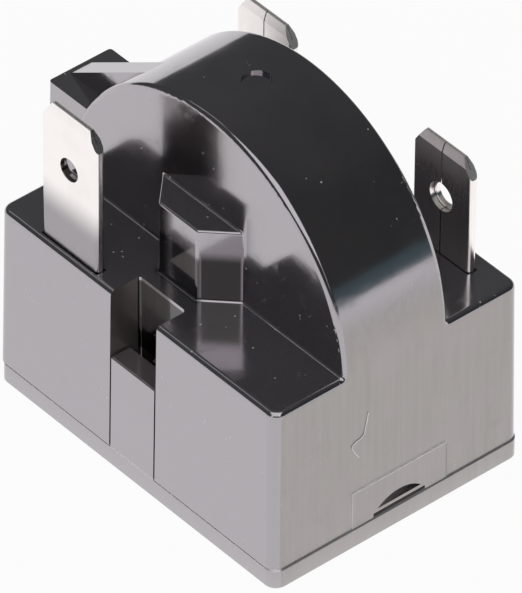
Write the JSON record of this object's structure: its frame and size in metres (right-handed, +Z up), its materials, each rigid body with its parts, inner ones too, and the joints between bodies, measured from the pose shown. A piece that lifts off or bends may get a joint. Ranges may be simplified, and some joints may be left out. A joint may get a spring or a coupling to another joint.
{
  "type": "compressor start relay",
  "caption": "Moulded start relay with a half-round dome over a ceramic disc, folded blade tabs and two rolled sockets that push over compressor pins.",
  "frame": {"origin": "middle of the underside of the base cover", "axes": "+X along the slotted front wall, away from the side lug; +Y from the slotted front wall to the rear tabs; +Z up, away from the compressor, along the blade tabs"},
  "size_m": [0.0348, 0.024, 0.0318],
  "materials": {
    "housing_plastic": "polished black moulding",
    "cover_plastic": "polished black moulding",
    "terminal_plate": "silver-plated strip",
    "socket_brass": "bare rolled strip",
    "spring_steel": "bright spring strip",
    "pill_ceramic": "dark ceramic",
    "rivet_metal": "bright set rivet"
  },
  "bodies": {
    "root": {"housing": "housing_plastic", "base_cover": "cover_plastic", "start_terminal": "terminal_plate", "run_terminal": "terminal_plate", "ptc_pill": "pill_ceramic", "front_contact_spring": "spring_steel", "rear_contact_spring": "spring_steel", "start_socket": "socket_brass", "run_socket": "socket_brass", "start_socket_clip": "spring_steel", "run_socket_clip": "spring_steel", "start_socket_rivet": "rivet_metal", "front_spring_rivet": "rivet_metal", "run_socket_rivet": "rivet_metal", "rear_spring_rivet": "rivet_metal"}
  },
  "joints": []
}
